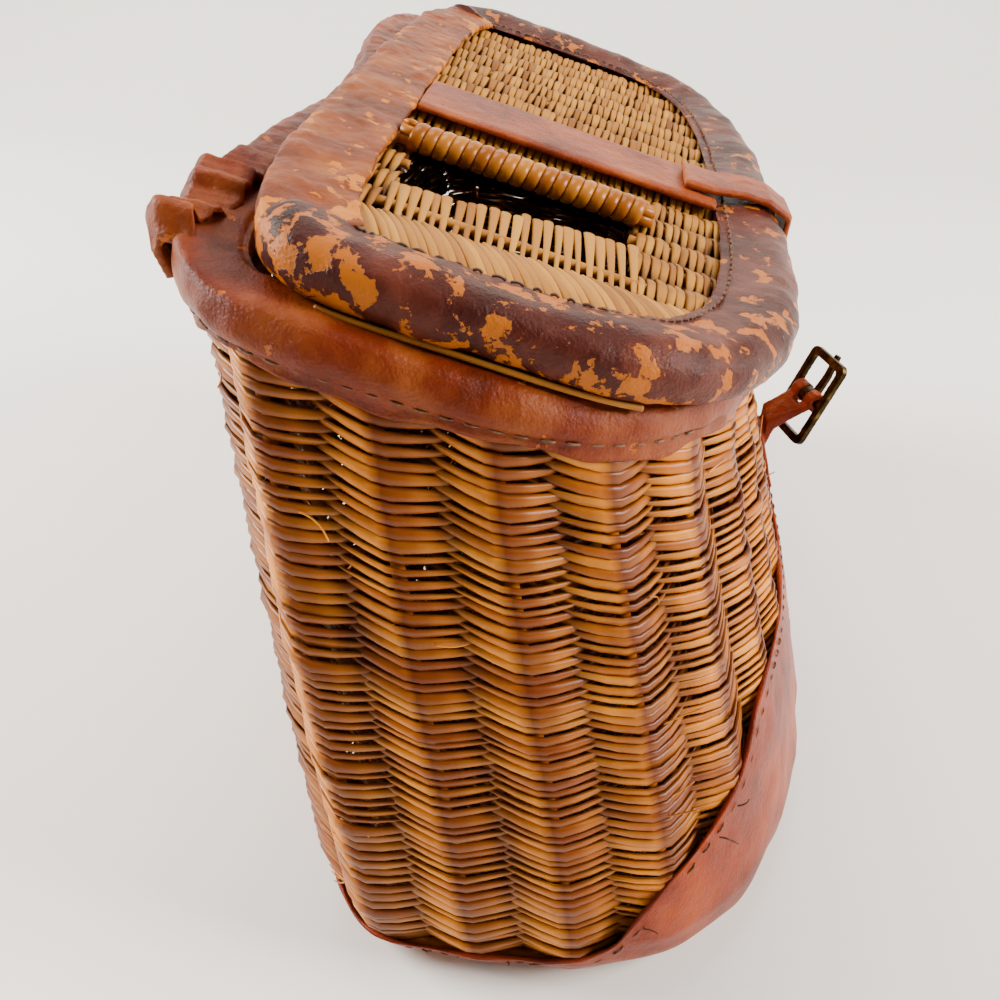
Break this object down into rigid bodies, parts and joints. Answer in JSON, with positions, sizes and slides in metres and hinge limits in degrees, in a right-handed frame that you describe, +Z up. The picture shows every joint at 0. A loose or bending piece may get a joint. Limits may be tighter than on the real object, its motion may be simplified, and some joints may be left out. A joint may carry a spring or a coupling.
{
  "type": "fishing creel bag",
  "caption": "Split-willow fishing creel with leather trim, a sloping hinged lid with a fish hole, and a strap and buckle at the front.",
  "frame": {"origin": "centre of the bounding box at the level of the base, on the surface that the creel stands on", "axes": "+X along the creel's length with the fish hole on the -X half, -Y towards the buckle at the front, +Z up"},
  "size_m": [0.3654, 0.1992, 0.2372],
  "materials": {
    "willow": "honey-coloured split willow, woven and varnished, satin",
    "lid_willow": "paler split willow, woven, matte",
    "amber_willow": "glossy varnished split willow, wrapped",
    "rim_leather": "worn tan leather, satin",
    "roll_leather": "dark red-brown padded leather with flaked orange patches",
    "back_leather": "dusty tan leather with orange worn edges",
    "strap_leather": "smooth tan strap leather, satin",
    "base_leather": "reddish-brown leather, satin",
    "aged_brass": "dark antique patina"
  },
  "bodies": {
    "basket": {"basket_body": "willow", "rim_leather": "rim_leather", "hinge_leather": "rim_leather", "base_leather": "base_leather", "front_strap": "base_leather"},
    "lid": {"lid_panel": "lid_willow", "lid_roll": "roll_leather", "lid_back_strip": "back_leather", "lid_strap": "strap_leather", "closing_strap": "strap_leather", "hole_bar": "amber_willow"},
    "buckle": {"buckle_frame": "aged_brass"},
    "tongue": {"buckle_tongue": "aged_brass"}
  },
  "joints": [
    {"name": "lid_hinge", "type": "hinge", "parent": "basket", "child": "lid", "pos_m": [0, 0.07837, 0.23265], "axis": [-1, 0, 0], "range_deg": [0, 100]},
    {"name": "buckle_swing", "type": "hinge", "parent": "basket", "child": "buckle", "pos_m": [-0.009, -0.08913, 0.125], "axis": [-0.9397, -0.342, 0], "range_deg": [0, 30]},
    {"name": "tongue_lift", "type": "hinge", "parent": "buckle", "child": "tongue", "pos_m": [-0.009, -0.08913, 0.125], "axis": [0.9397, 0.342, 0], "range_deg": [0, 60]}
  ]
}
